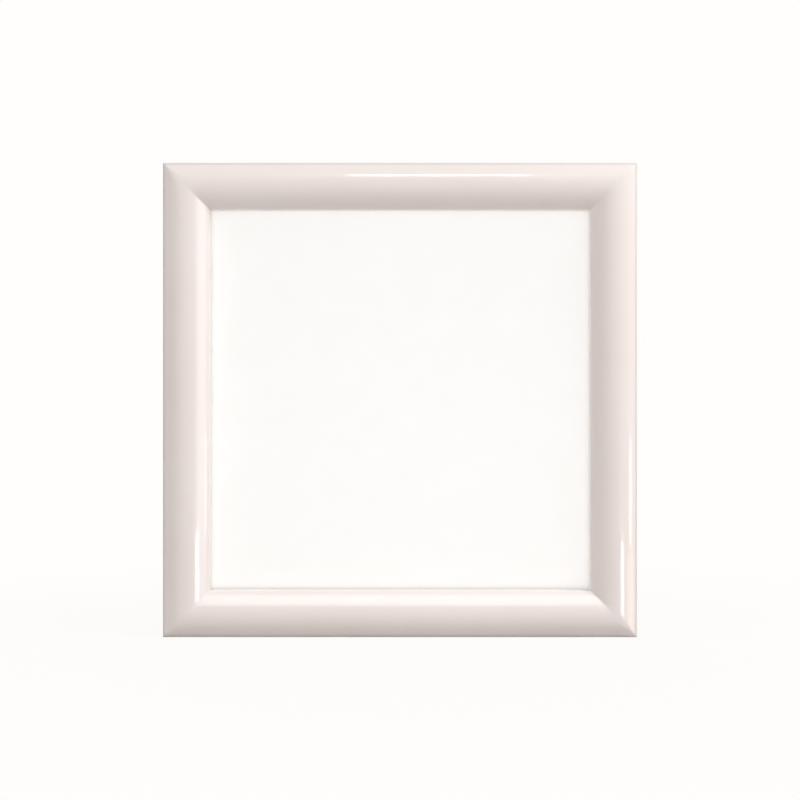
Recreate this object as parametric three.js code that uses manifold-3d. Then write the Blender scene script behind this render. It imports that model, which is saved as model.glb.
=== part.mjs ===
// Square picture frame for a finished diamond painting: four mitred half-round rails, a clear pane, a blank
// card, a backing board held by turn buttons, a sawtooth hanger and an easel strut.
// Millimetres. X runs to the right as the picture is looked at, Y from front to back and Z up.
// The origin is the middle of the flat underside of the bottom rail.
import * as THREE from "three";
import { mergeVertices } from "three/addons/utils/BufferGeometryUtils.js";
import Module from "manifold-3d";

// Opening, as seen from the front
const OPENING_WIDTH = 170;
const OPENING_HEIGHT = 170;

// Rail section, from the outer edge over the crown to the lip round the opening
const OUTER_SLOPE_WIDTH = 9.8;
const INNER_SLOPE_WIDTH = 11.2;
const EDGE_DROP = 4.8; // from the crown down to where the outer slope would meet the side wall
const EDGE_RADIUS = 1.8;
const LIP_DROP = 4.7; // from the crown down to the front edge of the lip
const LIP_EDGE_RADIUS = 0.6;
const LIP_THICKNESS = 3.9;
const SECTION_STEP = 4; // degrees of arc between two points of the section

// Insert, packed in the rebate from front to back
const INSERT_LAP = 5; // how far the insert reaches behind the lip
const INSERT_CLEARANCE = 0.5; // play between the insert and the rebate wall
const PANE_THICKNESS = 1.2;
const PICTURE_THICKNESS = 1.8;
const FILLER_THICKNESS = 1.2;
const BOARD_THICKNESS = 3;
const BOARD_RECESS = 0.2; // how deep the board lies below the back of the rails

// V-nails across each mitre
const V_NAILS_PER_CORNER = 2;
const V_NAIL_LEG = 6;
const V_NAIL_THICKNESS = 0.6;
const V_NAIL_HEIGHT = 7;
const V_NAIL_RECESS = 0.2;

// Turn buttons and their screws
const BUTTON_FROM_CORNER = 55; // along the side rails
const BUTTON_RADIUS = 4.5; // round end at the screw
const BUTTON_TIP_RADIUS = 3.2;
const BUTTON_REACH = 11; // from the screw to the middle of the round tip
const BUTTON_THICKNESS = 1;
const BUTTON_GAP = 0.3; // under the button, so that it turns freely
const BUTTON_PLAY = 0.1; // round the screw and under its head
const SCREW_RADIUS = 1.3;
const SCREW_LENGTH = 10; // below the head
const SCREW_HEAD_RADIUS = 2.9;
const SCREW_HEAD_HEIGHT = 1.6;
const SCREW_POINT = 2.4;
const RECESS_LENGTH = 3.4; // cross recess in the head
const RECESS_WIDTH = 0.8;
const RECESS_DEPTH = 0.9;

// Sawtooth hanger and its nails
const HANGER_LENGTH = 44;
const HANGER_HEIGHT = 8;
const HANGER_THICKNESS = 0.8;
const HANGER_FLAT = 7; // flat foot at each end
const HANGER_BEND = 2; // run of the bend between foot and raised middle
const HANGER_RISE = 1.8;
const TOOTH_PITCH = 2.4;
const TOOTH_WIDTH = 2; // of the notch at the lower edge
const TOOTH_DEPTH = 1.6;
const NAIL_RADIUS = 0.65;
const NAIL_LENGTH = 9;
const NAIL_POINT = 1.8;
const NAIL_HEAD_RADIUS = 1.8;
const NAIL_HEAD_HEIGHT = 0.7;

// Easel strut and its hinge
const HINGE_FROM_TOP = 60; // from the top of the frame down to the pin
const STRUT_FOOT_LIFT = 5; // from the underside of the frame up to the foot of the folded strut
const STRUT_TOP_WIDTH = 34;
const STRUT_FOOT_WIDTH = 50;
const STRUT_CORNER = 4;
const STRUT_THICKNESS = 2.5;
const STRUT_GAP = 0.8; // between the board and the folded strut
const STRUT_SWING = 30; // degrees from folded to the heel stop
const HINGE_WIDTH = 28;
const MIDDLE_KNUCKLE = 12;
const KNUCKLE_GAP = 0.3; // between the knuckles, and round what turns
const LEAF_THICKNESS = 0.8;
const BASE_LEAF_HEIGHT = 20;
const STRUT_LEAF_HEIGHT = 22;
const LEAF_CORNER = 3;
const PIN_RADIUS = 1;
const PIN_CLEARANCE = 0.1;
const PIN_HEAD_RADIUS = 1.5;
const PIN_HEAD_LENGTH = 0.5;
const HEEL_LENGTH = 5.2; // from the pin to the end of the heel
const HEEL_CLEARANCE = 0.15; // left between heel and base leaf at the stop

// Rivets through the hinge leaves
const RIVET_RADIUS = 1.25;
const RIVET_HEAD_RADIUS = 2.6;
const RIVET_HEAD_HEIGHT = 0.9;
const RIVET_TAIL_RADIUS = 2.1;
const RIVET_TAIL_HEIGHT = 0.6;
const RIVET_FROM_SIDE = 5.5; // from the side of its leaf
const RIVET_FROM_EDGE = 7; // from the far edge of its leaf

const FIT = 0.05; // round nails, screws and rivets in their holes
const ROUND_SIDES = 24; // facets of small round pieces
const OVERCUT = 1; // how far a cut runs past the face that it starts from

// Sizes that follow from the ones above
const RAIL_WIDTH = OUTER_SLOPE_WIDTH + INNER_SLOPE_WIDTH;
const WIDTH = OPENING_WIDTH + 2 * RAIL_WIDTH;
const HEIGHT = OPENING_HEIGHT + 2 * RAIL_WIDTH;
const LAND_WIDTH = RAIL_WIDTH - INSERT_LAP - INSERT_CLEARANCE; // flat back of a rail, beside the rebate
const INSERT_WIDTH = OPENING_WIDTH + 2 * INSERT_LAP;
const INSERT_HEIGHT = OPENING_HEIGHT + 2 * INSERT_LAP;

// Depths, from the crown of the rails backwards
const PANE_FRONT = LIP_DROP + LIP_THICKNESS;
const PICTURE_FRONT = PANE_FRONT + PANE_THICKNESS;
const FILLER_FRONT = PICTURE_FRONT + PICTURE_THICKNESS;
const BOARD_FRONT = FILLER_FRONT + FILLER_THICKNESS;
const BOARD_BACK = BOARD_FRONT + BOARD_THICKNESS;
const RAIL_DEPTH = BOARD_BACK + BOARD_RECESS;

// Each slope is an arc that is level at the crown, with a small round at its end
const OUTER_ARC = (OUTER_SLOPE_WIDTH ** 2 + EDGE_DROP ** 2) / (2 * EDGE_DROP);
const INNER_ARC = (INNER_SLOPE_WIDTH ** 2 + LIP_DROP ** 2) / (2 * LIP_DROP);
const outerEnd = slopeEnd(OUTER_SLOPE_WIDTH, OUTER_ARC, EDGE_RADIUS);
const innerEnd = slopeEnd(INNER_SLOPE_WIDTH, INNER_ARC, LIP_EDGE_RADIUS);
const ORIGIN_DEPTH = (outerEnd.depth + RAIL_DEPTH) / 2;

// What is fixed in or on the flat backs of the rails
const V_NAIL_FRONT = RAIL_DEPTH - V_NAIL_RECESS - V_NAIL_HEIGHT;
const BUTTON_SPREAD = HEIGHT / 2 - BUTTON_FROM_CORNER; // above and below the middle of the frame
const SCREW_SEAT = BUTTON_GAP + BUTTON_THICKNESS + BUTTON_PLAY; // behind the rail
const NAIL_SPREAD = (HANGER_LENGTH - HANGER_FLAT) / 2;

// Hinge, measured from the pin: what lies on the board starts at -PIN_OFFSET
const KNUCKLE_RADIUS = PIN_RADIUS + PIN_CLEARANCE + LEAF_THICKNESS;
const PIN_OFFSET = STRUT_GAP + STRUT_THICKNESS + LEAF_THICKNESS - KNUCKLE_RADIUS;
const PIN_Z = HEIGHT - HINGE_FROM_TOP;
const LEAF_BACK = LEAF_THICKNESS - PIN_OFFSET; // outer face of the base leaf
const LEAF_FRONT = KNUCKLE_RADIUS - LEAF_THICKNESS; // inner face of the strut leaf
const RIVET_SPREAD = HINGE_WIDTH / 2 - RIVET_FROM_SIDE;
const BASE_RIVET_Z = BASE_LEAF_HEIGHT - RIVET_FROM_EDGE;
const STRUT_RIVET_Z = RIVET_FROM_EDGE - STRUT_LEAF_HEIGHT;

const SIDES = [
  ["left", -1],
  ["right", 1],
];
const LEVELS = [
  ["lower", -1],
  ["upper", 1],
];
const STRUT_TOP = -(KNUCKLE_RADIUS + 2 * KNUCKLE_GAP);
const STRUT_FOOT = STRUT_FOOT_LIFT - PIN_Z;

const wasm = await Module();
wasm.setup();

// Finishes
const lacquer = () => new THREE.MeshStandardMaterial({ color: 0xeee3df, roughness: 0.22 });
const clear = () =>
  new THREE.MeshStandardMaterial({ color: 0xf6fafa, roughness: 0.05, transparent: true, opacity: 0.2 });
const whiteCard = () => new THREE.MeshStandardMaterial({ color: 0xfbfaf8, roughness: 0.8 });
const greyCard = () => new THREE.MeshStandardMaterial({ color: 0xb9b1a4, roughness: 0.95 });
const hardboard = () => new THREE.MeshStandardMaterial({ color: 0x8a6645, roughness: 0.75 });
const steel = () => new THREE.MeshStandardMaterial({ color: 0xb9bbbe, roughness: 0.35, metalness: 1 });
const zinc = () => new THREE.MeshStandardMaterial({ color: 0xcfccc2, roughness: 0.3, metalness: 1 });
const brass = () => new THREE.MeshStandardMaterial({ color: 0xc6a45a, roughness: 0.3, metalness: 1 });

// Shapes and cuts

function toSolid(geometry) {
  const bare = geometry.clone();
  bare.deleteAttribute("normal");
  bare.deleteAttribute("uv");
  const merged = mergeVertices(bare, 1e-4);
  return new wasm.Manifold(
    new wasm.Mesh({
      numProp: 3,
      vertProperties: merged.attributes.position.array,
      triVerts: new Uint32Array(merged.index.array),
    }),
  );
}

function toGeometry(solid) {
  const { vertProperties, triVerts } = solid.getMesh();
  const geometry = new THREE.BufferGeometry();
  geometry.setAttribute("position", new THREE.BufferAttribute(vertProperties, 3));
  geometry.setIndex(new THREE.BufferAttribute(triVerts, 1));
  geometry.computeVertexNormals();
  return geometry;
}

const cut = (body, tools) =>
  toGeometry(tools.reduce((left, tool) => left.subtract(toSolid(tool)), toSolid(body)));

const join = ([first, ...others]) =>
  toGeometry(others.reduce((whole, other) => whole.add(toSolid(other)), toSolid(first)));

// A box between its lowest and its highest corner
function block(low, high) {
  const size = high.map((value, axis) => value - low[axis]);
  const middle = high.map((value, axis) => (value + low[axis]) / 2);
  return new THREE.BoxGeometry(...size).translate(...middle);
}

// A shape drawn as seen from the front, made into a plate that runs back from y = 0
const plate = (shape, thickness) =>
  new THREE.ExtrudeGeometry(shape, { depth: thickness, bevelEnabled: false, curveSegments: 6 })
    .rotateX(Math.PI / 2)
    .translate(0, thickness, 0);

// A four-sided plate outline, symmetrical about x = 0, with round corners
function roundedOutline(bottomWidth, topWidth, bottom, top, corner) {
  const corners = [
    [-bottomWidth / 2, bottom],
    [bottomWidth / 2, bottom],
    [topWidth / 2, top],
    [-topWidth / 2, top],
  ].map(([x, y]) => new THREE.Vector2(x, y));
  const towards = (from, to) => to.clone().sub(from).setLength(corner).add(from);
  const shape = new THREE.Shape();
  corners.forEach((point, i) => {
    const start = towards(point, corners[(i + 3) % 4]);
    const end = towards(point, corners[(i + 1) % 4]);
    if (i === 0) shape.moveTo(start.x, start.y);
    else shape.lineTo(start.x, start.y);
    shape.quadraticCurveTo(point.x, point.y, end.x, end.y);
  });
  shape.closePath();
  return shape;
}

// A round piece about the Y axis, from [radius, y] points that start and end on the axis
const turned = (points) =>
  new THREE.LatheGeometry(
    points.map(([radius, y]) => new THREE.Vector2(radius, y)),
    ROUND_SIDES,
  );

// A plain cylinder about the Y axis, between two values of y
const rod = (radius, from, to) =>
  new THREE.CylinderGeometry(radius, radius, to - from, ROUND_SIDES).translate(0, (from + to) / 2, 0);

// The same about the X axis
const crossRod = (radius, from, to) => rod(radius, -to, -from).rotateZ(Math.PI / 2);

// A bar along X whose section is drawn as [z, y] points
const bar = (points, from, to) =>
  new THREE.ExtrudeGeometry(new THREE.Shape(points.map(([z, y]) => new THREE.Vector2(z, y))), {
    depth: to - from,
    bevelEnabled: false,
  })
    .rotateY(-Math.PI / 2)
    .translate(to, 0, 0);

// Points of a domed head, from its rim to the axis
const dome = (radius, height) =>
  [0, 20, 40, 60, 80, 90]
    .map(THREE.MathUtils.degToRad)
    .map((angle) => [radius * Math.cos(angle), height * Math.sin(angle)]);

const model = new THREE.Group();
const frame = new THREE.Group(); // here y is the depth behind the crown of the rails
frame.position.y = -ORIGIN_DEPTH;
model.add(frame);

function add(parent, name, geometry, finish, position = [0, 0, 0], turn = 0) {
  const mesh = new THREE.Mesh(geometry, finish);
  mesh.name = name;
  mesh.position.set(...position);
  mesh.rotation.y = turn;
  parent.add(mesh);
}

// Rails

// Where the arc of a slope passes into the small round at its end: the depth of the small round's centre,
// and the angle of the slope there
function slopeEnd(width, radius, roundRadius) {
  const reach = radius - roundRadius;
  const across = width - roundRadius;
  return {
    depth: radius - Math.sqrt(reach ** 2 - across ** 2),
    angle: THREE.MathUtils.radToDeg(Math.asin(across / reach)),
  };
}

// Section of a rail as [distance from the outer edge, depth] points
function railSection() {
  const points = [];
  const arc = (u, depth, radius, from, to) => {
    const steps = Math.ceil((to - from) / SECTION_STEP);
    for (let i = 1; i <= steps; i++) {
      const angle = THREE.MathUtils.degToRad(from + ((to - from) * i) / steps);
      points.push([u + radius * Math.sin(angle), depth - radius * Math.cos(angle)]);
    }
  };
  points.push([0, outerEnd.depth]);
  arc(EDGE_RADIUS, outerEnd.depth, EDGE_RADIUS, -90, -outerEnd.angle);
  arc(OUTER_SLOPE_WIDTH, OUTER_ARC, OUTER_ARC, -outerEnd.angle, 0);
  arc(OUTER_SLOPE_WIDTH, INNER_ARC, INNER_ARC, 0, innerEnd.angle);
  arc(RAIL_WIDTH - LIP_EDGE_RADIUS, innerEnd.depth, LIP_EDGE_RADIUS, innerEnd.angle, 90);
  points.push([RAIL_WIDTH, PANE_FRONT], [LAND_WIDTH, PANE_FRONT]);
  points.push([LAND_WIDTH, RAIL_DEPTH], [0, RAIL_DEPTH]);
  return points;
}

// A rail lies along X with its outer edge at z = 0, and both ends are cut at 45 degrees
function railBlank(length) {
  const section = railSection();
  const count = section.length;
  const endPoints = (end) => section.flatMap(([u, depth]) => [end * (length / 2 - u), depth, u]);
  const index = section.flatMap((_, i) => {
    const next = (i + 1) % count;
    return [i, count + i, count + next, i, count + next, next];
  });
  const outline = section.map(([u, depth]) => new THREE.Vector2(u, depth));
  for (const [a, b, c] of THREE.ShapeUtils.triangulateShape(outline, []))
    index.push(a, b, c, count + a, count + c, count + b);
  const geometry = new THREE.BufferGeometry();
  const positions = [...endPoints(-1), ...endPoints(1)];
  geometry.setAttribute("position", new THREE.Float32BufferAttribute(positions, 3));
  geometry.setIndex(index);
  return geometry;
}

// Where the V-nails cross the mitre, as distances from the outer edge
const vNailPlaces = Array.from(
  { length: V_NAILS_PER_CORNER },
  (_, i) => (LAND_WIDTH * (i + 1)) / (V_NAILS_PER_CORNER + 1),
);

// The slots for the V-nails at both ends of a rail
function vNailSlots(length) {
  const half = V_NAIL_THICKNESS / 2 + FIT;
  return vNailPlaces.flatMap((u) => {
    const inner = length / 2 - u - V_NAIL_LEG - FIT;
    const outer = length / 2 - u + half;
    return [
      block([inner, V_NAIL_FRONT - FIT, u - half], [outer, RAIL_DEPTH + OVERCUT, u + half]),
      block([-outer, V_NAIL_FRONT - FIT, u - half], [-inner, RAIL_DEPTH + OVERCUT, u + half]),
    ];
  });
}

// A hole from the back into the middle of a rail's land
const pilotHole = (radius, depth, along) =>
  rod(radius + FIT, RAIL_DEPTH - depth - FIT, RAIL_DEPTH + OVERCUT).translate(along, 0, LAND_WIDTH / 2);

const buttonHoles = [-1, 1].map((end) =>
  pilotHole(SCREW_RADIUS, SCREW_LENGTH - SCREW_SEAT, end * BUTTON_SPREAD),
);
const nailHoles = [-1, 1].map((end) =>
  pilotHole(NAIL_RADIUS, NAIL_LENGTH - HANGER_THICKNESS, end * NAIL_SPREAD),
);

const rails = [
  ["rail_bottom", WIDTH, [0, 0, 0], 0, []],
  ["rail_top", WIDTH, [0, 0, HEIGHT], Math.PI, nailHoles],
  ["rail_left", HEIGHT, [-WIDTH / 2, 0, HEIGHT / 2], Math.PI / 2, buttonHoles],
  ["rail_right", HEIGHT, [WIDTH / 2, 0, HEIGHT / 2], -Math.PI / 2, buttonHoles],
];
for (const [name, length, position, turn, holes] of rails)
  add(frame, name, cut(railBlank(length), [...vNailSlots(length), ...holes]), lacquer(), position, turn);

// V-nails: a strip of steel bent square, with one leg in each rail

function vNail(u) {
  const half = V_NAIL_THICKNESS / 2;
  const outline = [
    [-half, -half],
    [V_NAIL_LEG, -half],
    [V_NAIL_LEG, half],
    [half, half],
    [half, V_NAIL_LEG],
    [-half, V_NAIL_LEG],
  ];
  const shape = new THREE.Shape(outline.map(([x, z]) => new THREE.Vector2(u + x, u + z)));
  return plate(shape, V_NAIL_HEIGHT).translate(0, V_NAIL_FRONT, 0);
}

const corners = [
  ["bottom_left", [-WIDTH / 2, 0, 0], 0],
  ["bottom_right", [WIDTH / 2, 0, 0], -Math.PI / 2],
  ["top_right", [WIDTH / 2, 0, HEIGHT], Math.PI],
  ["top_left", [-WIDTH / 2, 0, HEIGHT], Math.PI / 2],
];
for (const [corner, position, turn] of corners)
  vNailPlaces.forEach((u, i) => add(frame, `v_nail_${corner}_${i + 1}`, vNail(u), steel(), position, turn));

// Insert: pane, picture, filler and board

const sheet = (thickness) =>
  block([-INSERT_WIDTH / 2, 0, -INSERT_HEIGHT / 2], [INSERT_WIDTH / 2, thickness, INSERT_HEIGHT / 2]);
add(frame, "clear_pane", sheet(PANE_THICKNESS), clear(), [0, PANE_FRONT, HEIGHT / 2]);
add(frame, "picture_card", sheet(PICTURE_THICKNESS), whiteCard(), [0, PICTURE_FRONT, HEIGHT / 2]);
add(frame, "filler_card", sheet(FILLER_THICKNESS), greyCard(), [0, FILLER_FRONT, HEIGHT / 2]);

// The holes for a pair of rivets through a plate that starts at y = 0, with room for their tails there
const rivetHoles = (thickness, z) =>
  SIDES.map(([, sign]) =>
    join([
      rod(RIVET_RADIUS + FIT, -OVERCUT, thickness + OVERCUT),
      rod(RIVET_TAIL_RADIUS + FIT, -OVERCUT, RIVET_TAIL_HEIGHT + FIT),
    ]).translate(sign * RIVET_SPREAD, 0, z),
  );

const board = cut(sheet(BOARD_THICKNESS), rivetHoles(BOARD_THICKNESS, PIN_Z + BASE_RIVET_Z - HEIGHT / 2));
add(frame, "backing_board", board, hardboard(), [0, BOARD_FRONT, HEIGHT / 2]);

// Turn buttons and their screws

function buttonPlate() {
  const flank = Math.acos((BUTTON_RADIUS - BUTTON_TIP_RADIUS) / BUTTON_REACH);
  const shape = new THREE.Shape();
  shape.absarc(0, 0, BUTTON_RADIUS, flank, 2 * Math.PI - flank);
  shape.absarc(BUTTON_REACH, 0, BUTTON_TIP_RADIUS, -flank, flank);
  shape.closePath();
  return cut(plate(shape, BUTTON_THICKNESS), [
    rod(SCREW_RADIUS + BUTTON_PLAY, -OVERCUT, BUTTON_THICKNESS + OVERCUT),
  ]);
}

// Its head starts at y = 0 and its point lies in front
function screw() {
  const blank = turned([
    [0, -SCREW_LENGTH],
    [SCREW_RADIUS, SCREW_POINT - SCREW_LENGTH],
    [SCREW_RADIUS, 0],
    ...dome(SCREW_HEAD_RADIUS, SCREW_HEAD_HEIGHT),
  ]);
  const floor = SCREW_HEAD_HEIGHT - RECESS_DEPTH;
  const top = SCREW_HEAD_HEIGHT + OVERCUT;
  const slot = (length, width) => block([-length / 2, floor, -width / 2], [length / 2, top, width / 2]);
  return cut(blank, [slot(RECESS_LENGTH, RECESS_WIDTH), slot(RECESS_WIDTH, RECESS_LENGTH)]);
}

for (const [side, sign] of SIDES)
  for (const [level, up] of LEVELS) {
    const x = (sign * (WIDTH - LAND_WIDTH)) / 2;
    const z = HEIGHT / 2 + up * BUTTON_SPREAD;
    const turn = sign > 0 ? Math.PI : 0;
    add(frame, `turn_button_${level}_${side}`, buttonPlate(), zinc(), [x, RAIL_DEPTH + BUTTON_GAP, z], turn);
    add(frame, `button_screw_${level}_${side}`, screw(), steel(), [x, RAIL_DEPTH + SCREW_SEAT, z]);
  }

// Sawtooth hanger and its nails

function hanger() {
  const foot = HANGER_LENGTH / 2 - HANGER_FLAT;
  const middle = foot - HANGER_BEND;
  const run = [
    [-HANGER_LENGTH / 2, 0],
    [-foot, 0],
    [-middle, HANGER_RISE],
    [middle, HANGER_RISE],
    [foot, 0],
    [HANGER_LENGTH / 2, 0],
  ];
  const back = run.map(([x, y]) => [x, y + HANGER_THICKNESS]).reverse();
  const profile = new THREE.Shape([...run, ...back].map(([x, y]) => new THREE.Vector2(x, y)));
  const strip = new THREE.ExtrudeGeometry(profile, { depth: HANGER_HEIGHT, bevelEnabled: false });
  const eachSide = Math.floor(middle / TOOTH_PITCH) - 1; // notches beside the middle one
  const edge = -HANGER_HEIGHT / 2;
  const notch = new THREE.Shape([
    new THREE.Vector2(-TOOTH_WIDTH / 2, edge),
    new THREE.Vector2(TOOTH_WIDTH / 2, edge),
    new THREE.Vector2(0, edge + TOOTH_DEPTH),
  ]);
  const notches = Array.from({ length: 2 * eachSide + 1 }, (_, i) =>
    plate(notch, HANGER_THICKNESS + 2 * OVERCUT).translate(
      (i - eachSide) * TOOTH_PITCH,
      HANGER_RISE - OVERCUT,
      0,
    ),
  );
  const holes = [-1, 1].map((end) =>
    rod(NAIL_RADIUS + FIT, -OVERCUT, HANGER_THICKNESS + OVERCUT).translate(end * NAIL_SPREAD, 0, 0),
  );
  return cut(strip.translate(0, 0, -HANGER_HEIGHT / 2), [...notches, ...holes]);
}

const nail = () =>
  turned([
    [0, -NAIL_LENGTH],
    [NAIL_RADIUS, NAIL_POINT - NAIL_LENGTH],
    [NAIL_RADIUS, 0],
    [NAIL_HEAD_RADIUS, 0],
    [NAIL_HEAD_RADIUS, NAIL_HEAD_HEIGHT],
    [0, NAIL_HEAD_HEIGHT],
  ]);

const HANGER_Z = HEIGHT - LAND_WIDTH / 2;
add(frame, "sawtooth_hanger", hanger(), brass(), [0, RAIL_DEPTH, HANGER_Z]);
for (const [side, sign] of SIDES) {
  const position = [sign * NAIL_SPREAD, RAIL_DEPTH + HANGER_THICKNESS, HANGER_Z];
  add(frame, `hanger_nail_${side}`, nail(), brass(), position);
}

// Hinge on the board: its group has the pin as its X axis

const hinge = new THREE.Group();
hinge.position.set(0, BOARD_BACK + PIN_OFFSET, PIN_Z);
frame.add(hinge);

const outerKnuckles = [
  [-HINGE_WIDTH / 2, -MIDDLE_KNUCKLE / 2 - KNUCKLE_GAP],
  [MIDDLE_KNUCKLE / 2 + KNUCKLE_GAP, HINGE_WIDTH / 2],
];

// A pair of rivets whose heads start at a given y and whose tails lie a given grip in front of it
function addRivets(parent, kind, grip, y, z) {
  for (const [side, sign] of SIDES)
    add(parent, `${kind}_rivet_${side}`, rivet(grip), brass(), [sign * RIVET_SPREAD, y, z]);
}

function rivet(grip) {
  return turned([
    [0, -grip],
    [RIVET_TAIL_RADIUS, -grip],
    [RIVET_TAIL_RADIUS, RIVET_TAIL_HEIGHT - grip],
    [RIVET_RADIUS, RIVET_TAIL_HEIGHT - grip],
    [RIVET_RADIUS, 0],
    ...dome(RIVET_HEAD_RADIUS, RIVET_HEAD_HEIGHT),
  ]);
}

const leafHoles = (front, z) =>
  SIDES.map(([, sign]) =>
    rod(RIVET_RADIUS + FIT, front - OVERCUT, front + LEAF_THICKNESS + OVERCUT).translate(
      sign * RIVET_SPREAD,
      0,
      z,
    ),
  );

function baseLeaf() {
  const plateBottom = KNUCKLE_RADIUS + KNUCKLE_GAP;
  const outline = roundedOutline(HINGE_WIDTH, HINGE_WIDTH, plateBottom, BASE_LEAF_HEIGHT, LEAF_CORNER);
  const arms = outerKnuckles.flatMap(([from, to]) => [
    block([from, -PIN_OFFSET, KNUCKLE_RADIUS - LEAF_THICKNESS], [to, LEAF_BACK, plateBottom + LEAF_CORNER]),
    block([from, -PIN_OFFSET, KNUCKLE_RADIUS - LEAF_THICKNESS], [to, 0, KNUCKLE_RADIUS]),
    crossRod(KNUCKLE_RADIUS, from, to),
  ]);
  const bore = crossRod(PIN_RADIUS + FIT, -HINGE_WIDTH, HINGE_WIDTH);
  const body = join([plate(outline, LEAF_THICKNESS).translate(0, -PIN_OFFSET, 0), ...arms]);
  return cut(body, [bore, ...leafHoles(-PIN_OFFSET, BASE_RIVET_Z)]);
}

function hingePin() {
  const half = HINGE_WIDTH / 2 + FIT;
  return turned([
    [0, -half - PIN_HEAD_LENGTH],
    [PIN_HEAD_RADIUS, -half - PIN_HEAD_LENGTH],
    [PIN_HEAD_RADIUS, -half],
    [PIN_RADIUS, -half],
    [PIN_RADIUS, half],
    [PIN_HEAD_RADIUS, half],
    [PIN_HEAD_RADIUS, half + PIN_HEAD_LENGTH],
    [0, half + PIN_HEAD_LENGTH],
  ]).rotateZ(Math.PI / 2);
}

add(hinge, "hinge_base_leaf", baseLeaf(), zinc());
add(hinge, "hinge_pin", hingePin(), steel());
addRivets(hinge, "base", LEAF_THICKNESS + BOARD_THICKNESS, LEAF_BACK, BASE_RIVET_Z);

// Strut: it turns about the pin, foot outwards, until its heel meets the base leaf

const strut = new THREE.Group();
hinge.add(strut);

function strutLeaf() {
  const outline = roundedOutline(HINGE_WIDTH, HINGE_WIDTH, -STRUT_LEAF_HEIGHT, STRUT_TOP, LEAF_CORNER);
  const half = MIDDLE_KNUCKLE / 2;
  const heelTip = LEAF_BACK + HEEL_CLEARANCE; // its place when the strut is at its stop
  const heel = bar(
    [
      [0, -LEAF_THICKNESS / 2],
      [0, LEAF_THICKNESS / 2],
      [HEEL_LENGTH, heelTip + LEAF_THICKNESS],
      [HEEL_LENGTH, heelTip],
    ],
    -half,
    half,
  ).rotateX(THREE.MathUtils.degToRad(-STRUT_SWING));
  const body = join([
    plate(outline, LEAF_THICKNESS).translate(0, LEAF_FRONT, 0),
    block([-half, LEAF_FRONT, STRUT_TOP - LEAF_CORNER], [half, KNUCKLE_RADIUS, 0]),
    crossRod(KNUCKLE_RADIUS, -half, half),
    heel,
  ]);
  const bore = crossRod(PIN_RADIUS + PIN_CLEARANCE, -HINGE_WIDTH, HINGE_WIDTH);
  return cut(body, [bore, ...leafHoles(LEAF_FRONT, STRUT_RIVET_Z)]);
}

function strutBoard() {
  const outline = roundedOutline(STRUT_FOOT_WIDTH, STRUT_TOP_WIDTH, STRUT_FOOT, STRUT_TOP, STRUT_CORNER);
  return cut(plate(outline, STRUT_THICKNESS), rivetHoles(STRUT_THICKNESS, STRUT_RIVET_Z));
}

add(strut, "strut_leaf", strutLeaf(), zinc());
add(strut, "easel_strut", strutBoard(), hardboard(), [0, LEAF_FRONT - STRUT_THICKNESS, 0]);
addRivets(strut, "strut", LEAF_THICKNESS + STRUT_THICKNESS, KNUCKLE_RADIUS, STRUT_RIVET_Z);

export default model;
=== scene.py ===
# Looks of the picture frame: lacquered rails, clear pane, blank card, backing board, hardware and strut.
# Small sizes are in millimetres, as in the part's source, and MM brings them to Blender's metres.
import math

import bmesh
import bpy
from mathutils import Matrix, Vector


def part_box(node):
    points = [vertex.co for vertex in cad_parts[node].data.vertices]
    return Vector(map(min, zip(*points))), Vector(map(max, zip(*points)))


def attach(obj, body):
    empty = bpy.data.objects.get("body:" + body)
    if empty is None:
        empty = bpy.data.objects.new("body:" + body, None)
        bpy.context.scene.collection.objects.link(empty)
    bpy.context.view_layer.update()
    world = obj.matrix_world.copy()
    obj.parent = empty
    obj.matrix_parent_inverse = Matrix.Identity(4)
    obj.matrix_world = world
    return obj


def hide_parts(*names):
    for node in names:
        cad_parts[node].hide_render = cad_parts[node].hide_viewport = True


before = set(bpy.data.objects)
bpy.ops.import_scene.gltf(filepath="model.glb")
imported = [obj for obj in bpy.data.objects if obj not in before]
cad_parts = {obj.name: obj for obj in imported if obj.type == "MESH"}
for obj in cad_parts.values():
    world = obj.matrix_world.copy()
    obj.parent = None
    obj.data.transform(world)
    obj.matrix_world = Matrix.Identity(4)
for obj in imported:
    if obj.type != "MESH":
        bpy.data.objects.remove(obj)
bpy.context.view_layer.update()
MM = 0.001

# Sizes of the part
OPENING = 170
OUTER_SLOPE_WIDTH = 9.8
INNER_SLOPE_WIDTH = 11.2
EDGE_DROP = 4.8
EDGE_RADIUS = 1.8
LIP_DROP = 4.7
LIP_EDGE_RADIUS = 0.6
LIP_THICKNESS = 3.9
RAIL_DEPTH = 16
LAND_WIDTH = 15.5  # flat back of a rail, from its outer edge to the rebate
RAIL_WIDTH = OUTER_SLOPE_WIDTH + INNER_SLOPE_WIDTH
SIDE = OPENING + 2 * RAIL_WIDTH
LONG = SIDE * MM
HALF = SIDE / 2 * MM
PANE_FRONT = LIP_DROP + LIP_THICKNESS
V_NAIL_PLACES = (LAND_WIDTH / 3, 2 * LAND_WIDTH / 3)
V_NAIL_LEG = 6
V_NAIL_HALF = 0.3
V_NAIL_FRONT = 8.8
BUTTON_SPREAD = 51  # up and down from the middle of a side rail
BUTTON_RADIUS = 4.5
BUTTON_TIP_RADIUS = 3.2
BUTTON_REACH = 11
BUTTON_HOLE = 1.4
SCREW_RADIUS = 1.3
SCREW_DEPTH = 8.6
SCREW_POINT = 2.4
SCREW_HEAD_RADIUS = 2.9
SCREW_HEAD_HEIGHT = 1.6
SCREW_HEAD_RIM = 0.2
RECESS_LENGTH = 3.4
RECESS_WIDTH = 0.8
RECESS_DEPTH = 0.9
HANGER_FLAT = 7
HANGER_BEND = 2
HANGER_RISE = 1.8
HANGER_THICKNESS = 0.8
TOOTH_PITCH = 2.4
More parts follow.
